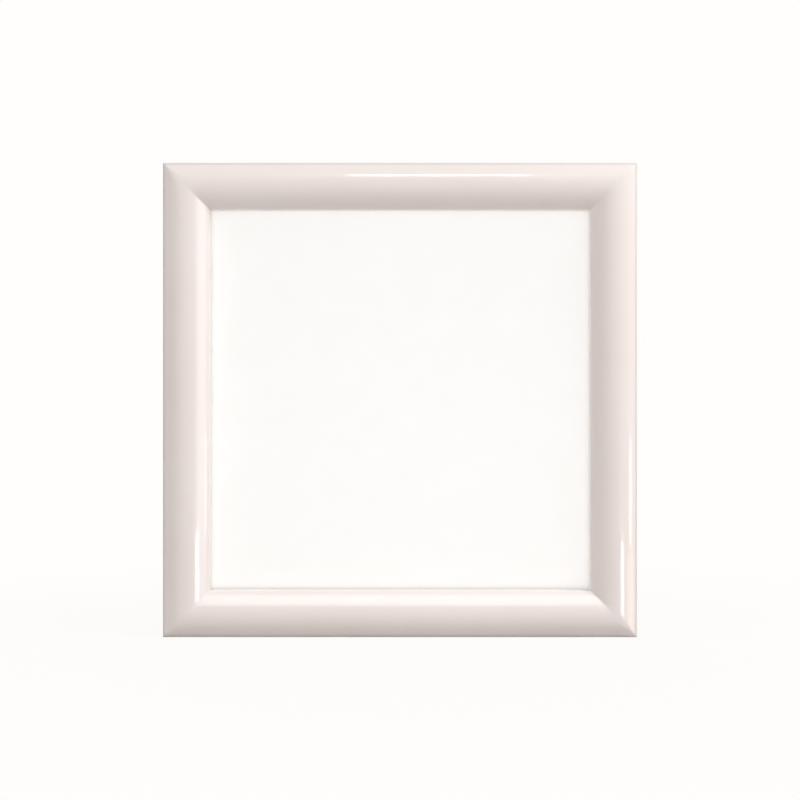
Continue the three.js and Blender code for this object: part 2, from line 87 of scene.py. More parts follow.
TOOTH_WIDTH = 2
TOOTH_DEPTH = 1.6
HANGER_NAIL_SPREAD = 18.5  # to both sides from the middle of the top rail
NAIL_RADIUS = 0.65
NAIL_DEPTH = 8.2
NAIL_POINT = 1.8
NAIL_HEAD_RADIUS = 1.8
NAIL_HEAD_HEIGHT = 0.7
HINGE_FROM_TOP = 60
HINGE_WIDTH = 28
PIN_OFFSET = 2.2  # from the back of the board
PIN_RADIUS = 1
PIN_CLEARANCE = 0.1
PIN_HEAD_RADIUS = 1.5
PIN_HEAD_LENGTH = 0.5
LEAF_THICKNESS = 0.8
LEAF_CORNER = 3
MIDDLE_KNUCKLE = 12
KNUCKLE_RADIUS = PIN_RADIUS + PIN_CLEARANCE + LEAF_THICKNESS
KNUCKLE_GAP = 0.3
HEEL_LENGTH = 5.2
HEEL_CLEARANCE = 0.15
STRUT_SWING = 30  # degrees from rest to its stop
STRUT_TOP_WIDTH = 34
STRUT_CORNER = 4
RIVET_RADIUS = 1.25
RIVET_HEAD_RADIUS = 2.6
RIVET_HEAD_HEIGHT = 0.9
RIVET_TAIL_RADIUS = 2.1
RIVET_TAIL_HEIGHT = 0.6
FIT = 0.05  # play round what goes through a hole or slot
OVERCUT = 1  # how far a cutter stands out of what it cuts

# Finer than the solids
MITRE_CREASE = 0.8  # how far along the rail lacquer softens a mitre on the inner slope
MITRE_ROUND = 0.45  # the same on the sanded outer slope, for each mm from the outer edge
MITRE_CHANGE = (8.5, 15.5)  # distances from the outer edge between which the one passes into the other

# Distances from a mitre to the rings of a rail's skin, closer together towards the mitre
MITRE_STEPS = (0, 0.06, 0.14, 0.24, 0.36, 0.5, 0.66, 0.86, 1.1, 1.4, 1.8, 2.3, 2.9, 3.6, 4.4, 5.3, 6.2, 7.2)
RAIL_STEPS = 30  # spans between rings over the rest of the rail
ROUND_STEPS = 7  # on each round of a rail's section
SLOPE_STEPS = 22  # on each slope
EDGE_BREAK = 0.3  # chamfer of the back edges
PANE_GAP = 0.05  # keeps the pane's back off the card, which lies face to face with it in the solids
EDGE_STEPS = 3  # faces on a rounded edge
PANE_EDGE = 0.15  # this and the next seven: how far the edges of a piece are rounded
TAB_EDGE = 0.2
HANGER_EDGE = 0.12
LEAF_EDGE = 0.1
HEAD_EDGE = 0.08
PIN_EDGE = 0.15
BOARD_EDGE = 0.25
STRUT_EDGE = 0.3
SOFT_ANGLE = 40  # only edges sharper than this are rounded, in degrees
TURNED_ANGLE = 50  # the same on turned pieces
SMOOTH_ANGLE = 35  # less sharp edges are shaded smooth
HANGER_CURVE = 0.9  # where the curve of each bend in the hanger starts
LEAF_BEND = 1.2  # the same in the hinge's base leaf
NOTCH_FLARE = 0.2  # how far a notch's cutter widens below the hanger
NAIL_HEAD_RIM = 0.25
RECESS_RISE = 0.2  # how far the screw recess's cutter stands out of the head
RECESS_FOOT = 0.35  # share of the recess's length at its foot
RECESS_MOUTH = 1.15  # and at the mouth of its cutter
RECESS_TAPER = 0.3  # part of the recess's width that follows that share
SCREW_TURN = 17  # degrees that the first recess is turned
SCREW_TURN_STEP = 52  # and each further one more
BASE_CURL = (90, -190)  # degrees round the pin between which the base leaf is rolled
STRUT_CURL = (0, 275)  # the same for the strut leaf
HEEL_FOOT = 1.3  # where the heel starts, inside the knuckle's wall
NEAR = 0.01  # distances below this count as none

# Painted shade on the lacquer, and paint on the bare back, with distances from the frame's outer edge
EDGE_PAINTED_SHADE = 0.32  # how much painted shade darkens the lacquer's colour there, for the rounded edge turning away from the light
EDGE_PAINTED_SHADE_REACH = (0.5, 1.7)  # where that starts to fade, and ends
PAINT_REACH = (0.6, 1.6)  # the same for the paint on the bare back
PAINT_WANDER = 1.2  # how far its ragged border strays
MIST_REACH = (1, 6)  # and for the specks of paint beyond it
NOISE_RANGE = (0.3, 0.7)  # most values of a noise lie in it


# Mesh code


def new_object(name, mesh):
    piece = bpy.data.objects.new(name, mesh)
    bpy.context.collection.objects.link(piece)
    return piece


def smooth_by_angle(mesh):
    mesh.shade_smooth()
    mesh.set_sharp_from_angle(angle=math.radians(SMOOTH_ANGLE))


def add_tube(bm, rings, split=True):
    """A closed skin through rings of points, each ring closed, with a face over both ends."""
    rows = [[bm.verts.new(point) for point in ring] for ring in rings]
    count = len(rows[0])
    for near, far in zip(rows, rows[1:]):
        for i in range(count):
            j = (i + 1) % count
            bm.faces.new((near[i], near[j], far[j], far[i]))
    caps = [bm.faces.new(rows[0][::-1]), bm.faces.new(rows[-1])]
    if split:
        bmesh.ops.triangulate(bm, faces=caps, ngon_method="EAR_CLIP")


def to_mesh(bm, name):
    bmesh.ops.recalc_face_normals(bm, faces=bm.faces)
    mesh = bpy.data.meshes.new(name)
    bm.to_mesh(mesh)
    bm.free()
    return mesh


def to_object(bm, name):
    return new_object(name, to_mesh(bm, name))


def apply_modifiers(piece):
    """Leaves a plain mesh."""
    depsgraph = bpy.context.evaluated_depsgraph_get()
    mesh = bpy.data.meshes.new_from_object(piece.evaluated_get(depsgraph))
    piece.modifiers.clear()
    piece.data = mesh


def combine(piece, tool, operation):
    step = piece.modifiers.new("boolean", "BOOLEAN")
    step.operation = operation
    step.solver = "EXACT"
    step.object = tool
    apply_modifiers(piece)
    bpy.data.objects.remove(tool)


def cut_away(piece, cutter):
    combine(piece, cutter, "DIFFERENCE")


def keep_shared(piece, other):
    combine(piece, other, "INTERSECT")


def add_on(piece, other):
    combine(piece, other, "UNION")


def soften(piece, width, degrees=SOFT_ANGLE):
    """Rounds the edges of a piece that are sharper than an angle."""
    step = piece.modifiers.new("soft edges", "BEVEL")
    step.width = width * MM
    step.segments = EDGE_STEPS
    step.limit_method = "ANGLE"
    step.angle_limit = math.radians(degrees)
    apply_modifiers(piece)


def rectangle(x0, z0, x1, z1):
    return [(x0, z0), (x1, z0), (x1, z1), (x0, z1)]


def add_plate(bm, low, high, edge):
    """A plate between two corners, in millimetres, with the edges of its faces rounded."""
    angles = [math.pi / 2 * i / EDGE_STEPS for i in range(EDGE_STEPS + 1)]
    curve = [(edge * (1 - math.sin(a)), edge * (1 - math.cos(a))) for a in angles]
    levels = [(inset, low.y + down) for inset, down in curve]
    levels += [(inset, high.y - down) for inset, down in reversed(curve)]
    rings = []
    for inset, y in levels:
        outline = rectangle(low.x + inset, low.z + inset, high.x - inset, high.z - inset)
        rings.append([Vector((x, y, z)) * MM for x, z in outline])
    add_tube(bm, rings)


def turn_angles(count):
    return [2 * math.pi * i / count for i in range(count)]


def arc(centre, radius, start, end, steps):
    """Points of an arc, both ends included, by degrees."""
    angles = [math.radians(start + (end - start) * i / steps) for i in range(steps + 1)]
    return [(centre[0] + radius * math.cos(a), centre[1] + radius * math.sin(a)) for a in angles]


def round_corners(points, reach, closed, steps=8):
    """A line of points whose corners are replaced by curves that start a given reach before them."""
    points = [Vector(point) for point in points]
    result = []
    for i, here in enumerate(points):
        if not closed and i in (0, len(points) - 1):
            result.append(here)
            continue
        before = here + (points[i - 1] - here).normalized() * reach
        after = here + (points[(i + 1) % len(points)] - here).normalized() * reach
        for k in range(steps + 1):
            t = k / steps
            result.append(before * (1 - t) ** 2 + here * 2 * t * (1 - t) + after * t**2)
    return result


def ribbon(path, thickness):
    """The closed outline of a strip of sheet, from its middle line."""
    points = [Vector(point) for point in path]
    one_side = []
    other_side = []
    for i, here in enumerate(points):
        before = points[max(i - 1, 0)]
        after = points[min(i + 1, len(points) - 1)]
        way = (after - here).normalized() + (here - before).normalized()
        out = Vector((-way.y, way.x)).normalized() * thickness / 2
        one_side.append(here + out)
        other_side.append(here - out)
    return one_side + other_side[::-1]


def prism(name, outline, start, end, axis="y"):
    """A straight bar, in millimetres: an outline in (x, z) that runs along y, or in (y, z) along x."""

    def point(a, b, along):
        return Vector((a, along, b) if axis == "y" else (along, a, b)) * MM

    bm = bmesh.new()
    add_tube(bm, [[point(a, b, along) for a, b in outline] for along in (start, end)], split=False)
    return to_object(bm, name)


def turned(name, profile, steps=64):
    """A round piece about the Y axis, from (radius, y) points that start and end on the axis."""
    bm = bmesh.new()
    rows = []
    for radius, y in profile:
        around = turn_angles(steps) if radius > 0 else [0]
        ring = [(radius * math.cos(a), y, radius * math.sin(a)) for a in around]
        rows.append([bm.verts.new(Vector(point) * MM) for point in ring])
    for near, far in zip(rows, rows[1:]):
        for i in range(steps):
            j = (i + 1) % steps
            corners = (near[i % len(near)], near[j % len(near)], far[j % len(far)], far[i % len(far)])
            bm.faces.new(list(dict.fromkeys(corners)))
    return to_object(bm, name)


# Rails: in their own space t runs along the rail, u from its outer edge inwards and d back from the crown


def slope_end(width, drop, round_radius):
    """Radius of a slope's arc, and depth and angle where it passes into its end round."""
    radius = (width**2 + drop**2) / (2 * drop)
    reach = radius - round_radius
    across = width - round_radius
    return radius, radius - math.sqrt(reach**2 - across**2), math.asin(across / reach)


OUTER_ARC, OUTER_END, OUTER_ANGLE = slope_end(OUTER_SLOPE_WIDTH, EDGE_DROP, EDGE_RADIUS)
INNER_ARC, INNER_END, INNER_ANGLE = slope_end(INNER_SLOPE_WIDTH, LIP_DROP, LIP_EDGE_RADIUS)
OUTER_BREAK = OUTER_SLOPE_WIDTH - OUTER_ARC * math.sin(OUTER_ANGLE)
INNER_BREAK = OUTER_SLOPE_WIDTH + INNER_ARC * math.sin(INNER_ANGLE)
ORIGIN_DEPTH = (OUTER_END + RAIL_DEPTH) / 2


def front_depth(u):
    """Depth of the rounded front at u."""
    if u < OUTER_BREAK:
        return OUTER_END - math.sqrt(max(EDGE_RADIUS**2 - (u - EDGE_RADIUS) ** 2, 0))
    if u < OUTER_SLOPE_WIDTH:
        return OUTER_ARC - math.sqrt(OUTER_ARC**2 - (u - OUTER_SLOPE_WIDTH) ** 2)
    if u < INNER_BREAK:
        return INNER_ARC - math.sqrt(INNER_ARC**2 - (u - OUTER_SLOPE_WIDTH) ** 2)
    lip = RAIL_WIDTH - LIP_EDGE_RADIUS
    return INNER_END - math.sqrt(max(LIP_EDGE_RADIUS**2 - (u - lip) ** 2, 0))


def front_places():
    """Values of u over the front, evenly spaced by angle on each of its four arcs."""
    quarter = math.pi / 2
    arcs = (
        (EDGE_RADIUS, EDGE_RADIUS, -quarter, -OUTER_ANGLE, ROUND_STEPS),
        (OUTER_SLOPE_WIDTH, OUTER_ARC, -OUTER_ANGLE, 0, SLOPE_STEPS),
        (OUTER_SLOPE_WIDTH, INNER_ARC, 0, INNER_ANGLE, SLOPE_STEPS),
        (RAIL_WIDTH - LIP_EDGE_RADIUS, LIP_EDGE_RADIUS, INNER_ANGLE, quarter, ROUND_STEPS),
    )
    places = [0]
    for middle, radius, start, end, steps in arcs:
        for i in range(1, steps + 1):
            places.append(middle + radius * math.sin(start + (end - start) * i / steps))
    return places


def ease(value, start, end):
    """0 before start, 1 past end, with a smooth rise between."""
    share = min(max((value - start) / (end - start), 0), 1)
    return share * share * (3 - 2 * share)


def soft_least(a, b):
    """The smaller of two distances, rounded off where they are nearly the same."""
    least = min(a, b)
    if least <= 0:
        return least
    inner = ease(least, *MITRE_CHANGE)
    reach = MITRE_ROUND * least * (1 - inner) + MITRE_CREASE * inner
    return least - (max(reach - abs(a - b), 0) / reach) ** 2 * reach / 4


def rail_mesh(name):
    front = front_places()
    back = [
        (RAIL_WIDTH, PANE_FRONT),
        (LAND_WIDTH, PANE_FRONT),
        (LAND_WIDTH, RAIL_DEPTH - EDGE_BREAK),
        (LAND_WIDTH - EDGE_BREAK, RAIL_DEPTH),
        (EDGE_BREAK, RAIL_DEPTH),
        (0, RAIL_DEPTH - EDGE_BREAK),
    ]
    section = [(u, None) for u in front] + back

    def ring(spread):
        """One ring of points; spread gives each point's place along the rail from its u."""
        points = []
        for u, depth in section:
            t = spread(u)
            to_end = min(t, SIDE - t)
            d = front_depth(soft_least(u, to_end)) if depth is None else depth
            points.append((t * MM, u * MM, d * MM))
        return points

    def station(share):
        first = MITRE_STEPS[-1]
        return lambda u: u + first + share * (SIDE - 2 * u - 2 * first)

    spreads = [lambda u, step=step: u + step for step in MITRE_STEPS]
    spreads += [station(i / RAIL_STEPS) for i in range(1, RAIL_STEPS)]
    spreads += [lambda u, step=step: SIDE - u - step for step in reversed(MITRE_STEPS)]
    bm = bmesh.new()
    add_tube(bm, [ring(spread) for spread in spreads])
    return to_mesh(bm, name)


def add_box(bm, low, high):
    (x0, y0, z0), (x1, y1, z1) = low, high
    ring = [(x0, y0), (x1, y0), (x1, y1), (x0, y1)]
    add_tube(bm, [[(x * MM, y * MM, z * MM) for x, y in ring] for z in (z0, z1)])


def add_bore(bm, t, u, radius, depth):
    ring = [(t + radius * math.cos(a), u + radius * math.sin(a)) for a in turn_angles(24)]
    levels = (RAIL_DEPTH - depth, RAIL_DEPTH + OVERCUT)
    add_tube(bm, [[(x * MM, y * MM, d * MM) for x, y in ring] for d in levels])


def rail_cutter(bores):
    """The slots for the V-nails at both ends of a rail, and its pilot holes."""
    bm = bmesh.new()
    half = V_NAIL_HALF + FIT
    for u in V_NAIL_PLACES:
        for a, b in ((u - half, u + V_NAIL_LEG + FIT), (SIDE - u - V_NAIL_LEG - FIT, SIDE - u + half)):
            add_box(bm, (a, u - half, V_NAIL_FRONT - FIT), (b, u + half, RAIL_DEPTH + OVERCUT))
    for t, radius, depth in bores:
        add_bore(bm, t, LAND_WIDTH / 2, radius + FIT, depth + FIT)
    return to_object(bm, "cutter")


button_bores = [(SIDE / 2 + end * BUTTON_SPREAD, SCREW_RADIUS, SCREW_DEPTH) for end in (-1, 1)]
nail_bores = [(SIDE / 2 + end * HANGER_NAIL_SPREAD, NAIL_RADIUS, NAIL_DEPTH) for end in (-1, 1)]


# Materials


class Finish:
    """A material with one Principled shader and the nodes that feed it."""

    def __init__(self, name, colour, **values):
        self.material = bpy.data.materials.new(name)
        self.material.use_nodes = True
        self.tree = self.material.node_tree
        self.shader = self.tree.nodes["Principled BSDF"]
        self.shader.inputs["Base Color"].default_value = (*colour, 1)
        for key, value in values.items():
            self.shader.inputs[key.replace("_", " ")].default_value = value

    def node(self, kind, settings=(), **inputs):
        made = self.tree.nodes.new(kind)
        for key, value in dict(settings).items():
            setattr(made, key, value)
        for key, value in inputs.items():
            self.feed(made.inputs[key.replace("_", " ")], value)
        return made

    def feed(self, socket, value):
        if isinstance(value, bpy.types.NodeSocket):
            self.tree.links.new(value, socket)
        else:
            socket.default_value = value

    def place(self, scale=(1, 1, 1)):
        """The point on the piece, in metres, with each axis scaled."""
        where = self.node("ShaderNodeTexCoord").outputs["Object"]
        return self.node("ShaderNodeMapping", Vector=where, Scale=scale).outputs[0]

    def noise(self, place, scale, detail=2, rough=0.5, distortion=0):
        return self.node(
            "ShaderNodeTexNoise",
            Vector=place,
            Scale=scale,
            Detail=detail,
            Roughness=rough,
            Distortion=distortion,
        ).outputs["Fac"]

    def cells(self, place, scale):
        return self.node("ShaderNodeTexVoronoi", Vector=place, Scale=scale).outputs["Distance"]

    def span(self, value, low, high, to_low=0, to_high=1):
        """Brings low..high to to_low..to_high, with the ends held."""
        keys = ("Value", "From Min", "From Max", "To Min", "To Max")
        made = self.node("ShaderNodeMapRange")
        for key, given in zip(keys, (value, low, high, to_low, to_high)):
            self.feed(made.inputs[key], given)
        return made.outputs["Result"]

    def vary(self, noise, to_low=0, to_high=1):
        """Brings the common values of a noise to to_low..to_high."""
        return self.span(noise, *NOISE_RANGE, to_low, to_high)

    def fade(self, distance, reach, start, end):
        """Passes from start to end over a reach in millimetres. The distance is in metres."""
        return self.span(distance, *(place * MM for place in reach), start, end)

    def math(self, operation, a, b=0):
        made = self.node("ShaderNodeMath", {"operation": operation})
        self.feed(made.inputs[0], a)
        self.feed(made.inputs[1], b)
        return made.outputs[0]

    def shades(self, value, *stops):
        """A colour from a value, by (place, colour) stops."""
        made = self.node("ShaderNodeValToRGB", Fac=value)
        points = made.color_ramp.elements
        while len(points) < len(stops):
            points.new(0.5)
        for point, (where, colour) in zip(points, stops):
            point.position = where
            point.color = (*colour, 1)
        return made.outputs["Color"]

    def blend(self, share, a, b):
        made = self.node("ShaderNodeMix", {"data_type": "RGBA"})
        self.feed(made.inputs["Factor"], share)
        self.feed(made.inputs[6], (*a, 1) if isinstance(a, tuple) else a)
        self.feed(made.inputs[7], (*b, 1) if isinstance(b, tuple) else b)
        return made.outputs[2]

    def bump(self, height, depth, under=None):
        """Relief of the given depth in millimetres."""
        made = self.node("ShaderNodeBump", Height=height, Strength=1.0, Distance=depth * MM)
        if under is not None:
            self.feed(made.inputs["Normal"], under)
        return made.outputs["Normal"]

    def set(self, **sockets):
        for key, value in sockets.items():
            self.feed(self.shader.inputs[key.replace("_", " ")], value)
        return self.material


def margin_of(f):
    """Distance of a point from the frame's outer edge, in metres."""
    point = f.node("ShaderNodeSeparateXYZ", Vector=f.place())
    across = f.math("ABSOLUTE", point.outputs["X"])
    up = f.math("ABSOLUTE", f.math("SUBTRACT", point.outputs["Z"], HALF))
    return f.math("SUBTRACT", HALF, f.math("MAXIMUM", across, up))


def lacquer():
    """Gloss lacquer with a faint drift of tone, a slight wave, and painted shade darkening its outer edge.
    """
    f = Finish("white_lacquer", (0.785, 0.718, 0.687), Coat_Weight=0.7, Coat_Roughness=0.05, Coat_IOR=1.5)
    tone = f.noise(f.place(), 35, detail=3)
    speck = f.noise(f.place(), 900, detail=2)
    colour = f.shades(tone, (0.3, (0.78, 0.706, 0.674)), (0.7, (0.79, 0.728, 0.7)))
    # painted shade: near the outer edge the lacquer's colour is blended towards dark grey, standing in for
    # the rounded edge turning away from the light
    edge = f.fade(margin_of(f), EDGE_PAINTED_SHADE_REACH, EDGE_PAINTED_SHADE, 0)
    colour = f.blend(edge, colour, (0.3, 0.26, 0.25))
    rough = f.vary(f.noise(f.place(), 240, detail=3), 0.3, 0.4)
    wave = f.bump(f.noise(f.place(), 160, detail=1), 0.007)
    grain = f.bump(speck, 0.0015, wave)
    return f.set(Base_Color=colour, Roughness=rough, Normal=grain)


def bare_wood(name, along):
    """Pale softwood with its grain along one axis, and paint drifted onto its outer margin."""
    f = Finish(name, (0.66, 0.5, 0.33))
    stretch = (0.06, 1, 1) if along == "x" else (1, 1, 0.06)
    rings = f.noise(f.place(stretch), 190, detail=3, distortion=0.6)
    fibres = f.noise(f.place(tuple(s * s for s in stretch)), 1600, detail=4, rough=0.7)
    wood = f.shades(
        rings,
        (0.25, (0.7, 0.53, 0.35)),
        (0.5, (0.63, 0.45, 0.28)),
        (0.6, (0.52, 0.34, 0.19)),
        (0.7, (0.68, 0.51, 0.33)),
    )
    wood = f.blend(f.span(fibres, 0.35, 0.7, 0, 0.35), wood, (0.42, 0.28, 0.16))
    margin = margin_of(f)
    wander = f.noise(f.place(), 260, detail=4, rough=0.7)
    ragged = f.math("ADD", margin, f.vary(wander, -PAINT_WANDER * MM, PAINT_WANDER * MM))
    paint = f.fade(ragged, PAINT_REACH, 1, 0)
    mist = f.span(f.noise(f.place(), 2200, detail=2), 0.62, 0.7, 0, 0.5)
    mist = f.math("MULTIPLY", mist, f.fade(margin, MIST_REACH, 1, 0))
    colour = f.blend(f.math("MAXIMUM", paint, mist), wood, (0.76, 0.71, 0.68))
    rough = f.span(paint, 0, 1, 0.62, 0.3)
    relief = f.bump(fibres, 0.03)
    return f.set(Base_Color=colour, Roughness=rough, Normal=relief)


def clear_sheet():
    """Clear acrylic, here and there very slightly smeared."""
    f = Finish("clear_acrylic", (0.97, 0.98, 0.98), Roughness=0.03, Alpha=0.06, IOR=1.49)
    smear = f.vary(f.noise(f.place(), 30, detail=3), 0.02, 0.05)
    return f.set(Roughness=smear)


def paper():
    """Blank white card with fine fibres and a faint cloudiness."""
    f = Finish("white_card", (0.955, 0.95, 0.94), Specular_IOR_Level=0.3)
    fibres = f.noise(f.place(), 1400, detail=4, rough=0.65)
    cloud = f.noise(f.place(), 90, detail=2)
    colour = f.blend(f.span(cloud, 0.35, 0.65), (0.95, 0.945, 0.935), (0.96, 0.956, 0.947))
    rough = f.vary(fibres, 0.75, 0.9)
    return f.set(Base_Color=colour, Roughness=rough, Normal=f.bump(fibres, 0.012))


def grey_board():
    """Rough grey packing card, flaky in its thickness."""
    f = Finish("grey_board", (0.46, 0.43, 0.38), Specular_IOR_Level=0.2)
    flakes = f.noise(f.place((1, 4, 1)), 700, detail=5, rough=0.7)
    colour = f.shades(
        flakes,
        (0.3, (0.36, 0.33, 0.29)),
        (0.6, (0.5, 0.47, 0.42)),
        (0.75, (0.62, 0.59, 0.54)),
    )
    rough = f.vary(flakes, 0.85, 0.98)
    return f.set(Base_Color=colour, Roughness=rough, Normal=f.bump(flakes, 0.05))


def hardboard(name, tint):
    """Pressed brown fibre board, smooth side out, with its colours times a tint."""

    def brown(*colour):
        return tuple(part * tint for part in colour)

    f = Finish(name, (0.26, 0.15, 0.08))
    fibres = f.noise(f.place(), 1300, detail=5, rough=0.75, distortion=0.8)
    flecks = f.cells(f.place(), 620)
    cloud = f.noise(f.place(), 28, detail=4)
    colour = f.shades(
        fibres,
        (0.3, brown(0.16, 0.088, 0.042)),
        (0.5, brown(0.26, 0.15, 0.078)),
        (0.7, brown(0.4, 0.25, 0.14)),
    )
    colour = f.blend(f.span(flecks, 0.05, 0.25, 0.5, 0), colour, brown(0.12, 0.065, 0.032))
    colour = f.blend(f.vary(cloud, 0, 0.25), colour, brown(0.34, 0.21, 0.12))
    rough = f.vary(cloud, 0.42, 0.6)
    relief = f.bump(fibres, 0.02, f.bump(f.noise(f.place(), 60, detail=2), 0.03))
    return f.set(Base_Color=colour, Roughness=rough, Normal=relief)


def metal(name, low, high, rough_low, rough_high):
    """Plated metal, cloudy in its tone, with a fine grain."""
    f = Finish(name, high, Metallic=1.0)
    cloud = f.noise(f.place(), 420, detail=4, rough=0.6)
    grain = f.noise(f.place(), 2600, detail=3, rough=0.7)
    colour = f.blend(f.vary(cloud), low, high)
    rough = f.span(f.math("ADD", cloud, grain), 0.75, 1.25, rough_low, rough_high)
    return f.set(Base_Color=colour, Roughness=rough, Normal=f.bump(grain, 0.004))


LACQUER = lacquer()
WOOD = {"x": bare_wood("bare_wood_level", "x"), "z": bare_wood("bare_wood_upright", "z")}
PANE = clear_sheet()
PAPER = paper()
GREY = grey_board()
BOARD = hardboard("hardboard_back", 1.0)
STRUT = hardboard("hardboard_strut", 0.9)
STEEL = metal("bright_steel", (0.5, 0.5, 0.51), (0.66, 0.66, 0.67), 0.22, 0.4)
ZINC = metal("zinc_plate", (0.42, 0.42, 0.41), (0.6, 0.6, 0.58), 0.26, 0.44)
BRASS = metal("brass_plate", (0.5, 0.38, 0.19), (0.66, 0.52, 0.29), 0.22, 0.38)


def dress(material, *nodes):
    """Gives CAD nodes a material."""
    for name in nodes:
        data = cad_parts[name].data
        data.materials.clear()
        data.materials.append(material)


# Rails and pane in place

RAILS = {
    "rail_bottom": ("x", (), lambda t, u: (t - HALF, u)),
    "rail_top": ("x", nail_bores, lambda t, u: (HALF - t, LONG - u)),
    "rail_left": ("z", button_bores, lambda t, u: (u - HALF, LONG - t)),
    "rail_right": ("z", button_bores, lambda t, u: (HALF - u, t)),
}


def lacquered(face):
    """True for the rounded front, the side wall and the lip, and not for the back, rebate or cut ends."""
    middle = face.calc_center_median()
    near = NEAR * MM
    on_cut = all(abs(min(v.co.x, LONG - v.co.x) - v.co.y) < near for v in face.verts)
    before_pane = middle.z < PANE_FRONT * MM - near
    return (before_pane or abs(middle.y) < near) and not on_cut


for node, (along, bores, to_place) in RAILS.items():
    rail = new_object(node.replace("rail", "moulding"), rail_mesh(node))
    cut_away(rail, rail_cutter(bores))
    rail.data.materials.clear()
    rail.data.materials.append(LACQUER)
    rail.data.materials.append(WOOD[along])
    bm = bmesh.new()
    bm.from_mesh(rail.data)
    for face in bm.faces:
        face.material_index = 0 if lacquered(face) else 1
    for vert in bm.verts:
        t, u, d = vert.co
        x, z = to_place(t, u)
        vert.co = Vector((x, d - ORIGIN_DEPTH * MM, z))
    bmesh.ops.recalc_face_normals(bm, faces=bm.faces)
    bm.to_mesh(rail.data)
    bm.free()
    smooth_by_angle(rail.data)
    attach(rail, "frame")
    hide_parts(node)


def span_of(node):
    """Lowest corner, highest corner and middle of a node, in millimetres."""
    low, high = (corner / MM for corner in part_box(node))
    return low, high, (low + high) / 2


low, high, _ = span_of("clear_pane")
high.y -= PANE_GAP
bm = bmesh.new()
add_plate(bm, low, high, PANE_EDGE)
pane = to_object(bm, "glazing")
pane.data.materials.append(PANE)
smooth_by_angle(pane.data)
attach(pane, "frame")
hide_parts("clear_pane")

# Back of the frame: each piece takes its place from the node that it stands for


def stand_for(piece, node, body, material):
    """Puts a piece in the place of a node, on its body, with its material."""
    piece.data.materials.clear()
    piece.data.materials.append(material)
    smooth_by_angle(piece.data)
    step = piece.modifiers.new("flat faces stay flat", "WEIGHTED_NORMAL")
    step.weight = 100
    step.keep_sharp = True
    apply_modifiers(piece)
    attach(piece, body)
    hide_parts(node)


def move_to(piece, x, y, z, turn=0):
    """Turns a piece about the Y axis, in degrees, and moves it, in its mesh."""
    spin = Matrix.Rotation(math.radians(turn), 4, "Y")
    piece.data.transform(Matrix.Translation(Vector((x, y, z)) * MM) @ spin)


def hole(x, z, radius, front, back):
    """A cutter for a round hole along y."""
    return prism("cutter", arc((x, z), radius, 0, 360, 32)[:-1], front, back)


def dome(radius, height, steps=10):
    """Profile of a domed head that starts at y = 0."""
    angles = [math.pi / 2 * i / steps for i in range(steps + 1)]
    return [(radius * math.cos(a), height * math.sin(a)) for a in angles[:-1]] + [(0, height)]


def build_buttons():
    """Turn buttons: flat tabs of plated steel, each on a screw of its own."""
    flank = math.degrees(math.acos((BUTTON_RADIUS - BUTTON_TIP_RADIUS) / BUTTON_REACH))
    outline = arc((0, 0), BUTTON_RADIUS, flank, 360 - flank, 36)
    outline += arc((BUTTON_REACH, 0), BUTTON_TIP_RADIUS, -flank, flank, 24)
    for side, way in (("left", 1), ("right", -1)):
        for level in ("lower", "upper"):
            node = f"turn_button_{level}_{side}"
            screw = f"button_screw_{level}_{side}"
            low, high, _ = span_of(node)
            x, z = span_of(screw)[2].xz
            shape = [(x + way * a, z + b) for a, b in outline]
            tab = prism(f"swing_tab_{level}_{side}", shape, low.y, high.y)
            cut_away(tab, hole(x, z, BUTTON_HOLE, low.y - OVERCUT, high.y + OVERCUT))
            soften(tab, TAB_EDGE)
            stand_for(tab, node, f"button_{level}_{side}", ZINC)


def build_screw(node, turn):
    """A wood screw with a domed head and a cross recess."""
    low, high, middle = span_of(node)
    length = high.y - low.y - SCREW_HEAD_HEIGHT
    profile = [
        (0, -length),
        (SCREW_RADIUS, SCREW_POINT - length),
        (SCREW_RADIUS, 0),
        (SCREW_HEAD_RADIUS, 0),
        (SCREW_HEAD_RADIUS, SCREW_HEAD_RIM),
    ]
    rise = SCREW_HEAD_HEIGHT - SCREW_HEAD_RIM
    profile += [(r, SCREW_HEAD_RIM + y) for r, y in dome(SCREW_HEAD_RADIUS, rise)[1:]]
    screw = turned(node.replace("button_screw", "pan_screw"), profile)
    bm = bmesh.new()
    rings = []
    foot = SCREW_HEAD_HEIGHT - RECESS_DEPTH
    for share, y in ((RECESS_FOOT, foot), (RECESS_MOUTH, SCREW_HEAD_HEIGHT + RECESS_RISE)):
        a = RECESS_LENGTH / 2 * share
        b = RECESS_WIDTH / 2 * (1 - RECESS_TAPER + RECESS_TAPER * share)
        cross = [(a, b), (b, b), (b, a), (-b, a), (-b, b), (-a, b)]
        cross += [(-x, -z) for x, z in cross]
        rings.append([Vector((x, y, z)) * MM for x, z in cross])
    add_tube(bm, rings)
    cut_away(screw, to_object(bm, "cutter"))
    soften(screw, HEAD_EDGE, TURNED_ANGLE)
    move_to(screw, middle.x, high.y - SCREW_HEAD_HEIGHT, middle.z, turn)
    stand_for(screw, node, "frame", STEEL)


